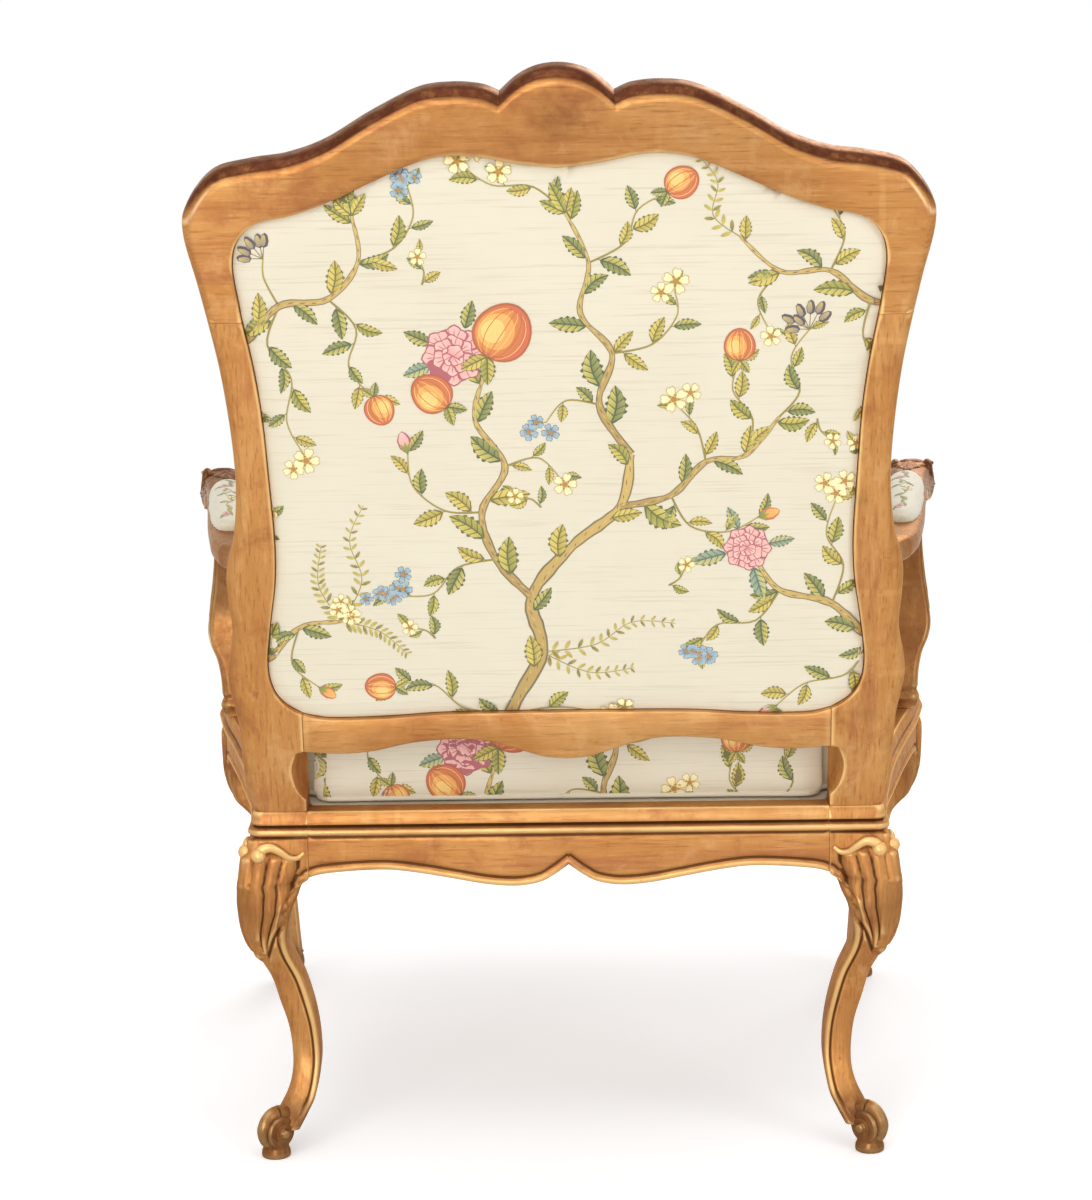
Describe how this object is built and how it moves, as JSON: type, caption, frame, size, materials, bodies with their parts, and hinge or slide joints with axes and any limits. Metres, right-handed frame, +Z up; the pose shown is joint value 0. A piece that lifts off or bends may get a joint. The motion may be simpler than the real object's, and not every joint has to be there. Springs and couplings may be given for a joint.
{
  "type": "upholstered armchair",
  "caption": "Carved and gilded open-armed armchair with a shaped, upholstered back, padded arms, cabriole legs with scroll feet and a loose seat cushion.",
  "frame": {"origin": "centre of the chair's outline in plan, on the floor that the feet stand on", "axes": "+X to the right as seen by someone facing the chair's front, -Y the way the chair faces, +Z up. Left and right in the node names are that person's."},
  "size_m": [0.778, 0.7106, 1.0403],
  "materials": {
    "gilding": "worn water gilding on carved wood",
    "beech": "raw",
    "screw_steel": "dull",
    "webbing": "woven jute",
    "hessian": "open weave",
    "figured_cloth": "woven with a flowering branch design"
  },
  "bodies": {
    "frame": {"crest_rail": "gilding", "lower_back_rail": "gilding", "rear_post_left": "gilding", "rear_post_right": "gilding", "rear_seat_rail": "gilding", "side_seat_rail_left": "gilding", "side_seat_rail_right": "gilding", "front_seat_rail": "gilding", "front_leg_left": "gilding", "front_leg_right": "gilding", "arm_left": "gilding", "arm_right": "gilding", "arm_support_left": "gilding", "arm_support_right": "gilding", "rear_corner_block_left": "beech", "rear_corner_block_right": "beech", "front_corner_block_left": "beech", "front_corner_block_right": "beech", "rear_block_screw_back_left": "screw_steel", "rear_block_screw_back_right": "screw_steel", "rear_block_screw_side_left": "screw_steel", "rear_block_screw_side_right": "screw_steel", "front_block_screw_front_left": "screw_steel", "front_block_screw_front_right": "screw_steel", "front_block_screw_side_left": "screw_steel", "front_block_screw_side_right": "screw_steel", "arm_support_screw_left": "screw_steel", "arm_support_screw_right": "screw_steel", "seat_strap_lengthwise_1": "webbing", "seat_strap_lengthwise_2": "webbing", "seat_strap_lengthwise_3": "webbing", "seat_strap_lengthwise_4": "webbing", "seat_strap_crosswise_1": "webbing", "seat_strap_crosswise_2": "webbing", "seat_strap_crosswise_3": "webbing", "seat_strap_crosswise_4": "webbing", "back_strap_upright_1": "webbing", "back_strap_upright_2": "webbing", "back_strap_level_1": "webbing", "back_strap_level_2": "webbing", "back_strap_level_3": "webbing", "seat_hessian": "hessian", "back_hessian": "hessian", "seat_deck": "figured_cloth", "inside_back_pad": "figured_cloth", "outside_back_panel": "figured_cloth", "arm_pad_left": "figured_cloth", "arm_pad_right": "figured_cloth"},
    "cushion": {"seat_cushion": "figured_cloth"}
  },
  "joints": [
    {"name": "seat_cushion_lift_out", "type": "slide", "parent": "frame", "child": "cushion", "axis": [0, -0.8, 0.6], "range_m": [0, 0.3]}
  ]
}
